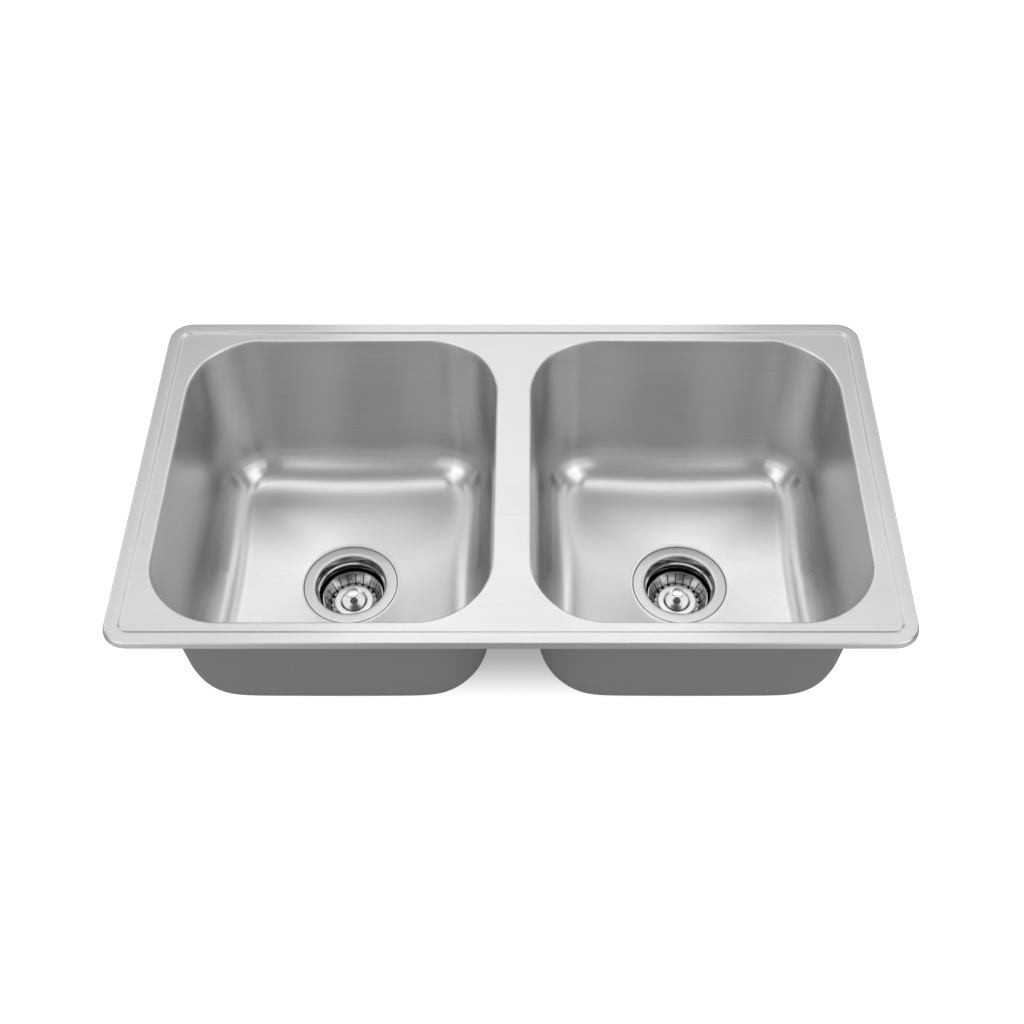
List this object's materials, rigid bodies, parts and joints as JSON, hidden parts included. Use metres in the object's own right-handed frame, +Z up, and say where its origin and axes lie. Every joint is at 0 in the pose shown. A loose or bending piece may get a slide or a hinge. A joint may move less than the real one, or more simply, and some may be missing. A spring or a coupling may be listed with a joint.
{
  "type": "double bowl kitchen sink",
  "caption": "Inset stainless steel kitchen sink with side-by-side drawn bowls in one deck, a raised rim, and lift-out basket strainers.",
  "frame": {"origin": "middle of the rim on the worktop plane that the rim rests on", "axes": "+X to the right along the sink, +Y to the back, +Z up"},
  "size_m": [0.82, 0.455, 0.3],
  "materials": {
    "deck_steel": "satin, fine brushing along the sink",
    "bowl_steel": "satin, fine brushing along the sink",
    "undercoat": "sprayed matt undercoat",
    "seal_foam": "closed-cell foam tape",
    "rail_steel": "plain bent sheet",
    "strainer_steel": "turned satin flange, brighter throat",
    "basket_steel": "bright pressed sheet",
    "polished_steel": "polished",
    "nut_metal": "plated",
    "gasket_rubber": "moulded rubber",
    "washer_fibre": "fibre board",
    "stopper_rubber": "moulded rubber"
  },
  "bodies": {
    "sink": {"deck": "deck_steel", "left_bowl": "bowl_steel", "right_bowl": "bowl_steel", "left_undercoat": "undercoat", "right_undercoat": "undercoat", "rim_seal": "seal_foam", "front_clip_rail": "rail_steel", "back_clip_rail": "rail_steel", "left_clip_rail": "rail_steel", "right_clip_rail": "rail_steel", "left_strainer_body": "strainer_steel", "left_outlet_tube": "strainer_steel", "left_flange_seal": "gasket_rubber", "left_drain_gasket": "gasket_rubber", "left_friction_washer": "washer_fibre", "left_lock_nut": "nut_metal", "left_crossbar": "nut_metal", "right_strainer_body": "strainer_steel", "right_outlet_tube": "strainer_steel", "right_flange_seal": "gasket_rubber", "right_drain_gasket": "gasket_rubber", "right_friction_washer": "washer_fibre", "right_lock_nut": "nut_metal", "right_crossbar": "nut_metal"},
    "left_stem_set": {"left_stem": "polished_steel", "left_stopper": "stopper_rubber", "left_stem_nut": "nut_metal"},
    "left_basket_set": {"left_basket": "basket_steel", "left_basket_disc": "polished_steel"},
    "right_stem_set": {"right_stem": "polished_steel", "right_stopper": "stopper_rubber", "right_stem_nut": "nut_metal"},
    "right_basket_set": {"right_basket": "basket_steel", "right_basket_disc": "polished_steel"}
  },
  "joints": [
    {"name": "left_basket_lift", "type": "slide", "parent": "sink", "child": "left_stem_set", "axis": [0, 0, 1], "range_m": [0, 0.29]},
    {"name": "left_basket_turn", "type": "hinge", "parent": "left_stem_set", "child": "left_basket_set", "pos_m": [-0.2015, 0, -0.25], "axis": [0, 0, 1], "continuous": true},
    {"name": "right_basket_lift", "type": "slide", "parent": "sink", "child": "right_stem_set", "axis": [0, 0, 1], "range_m": [0, 0.29]},
    {"name": "right_basket_turn", "type": "hinge", "parent": "right_stem_set", "child": "right_basket_set", "pos_m": [0.2015, 0, -0.25], "axis": [0, 0, 1], "continuous": true}
  ]
}
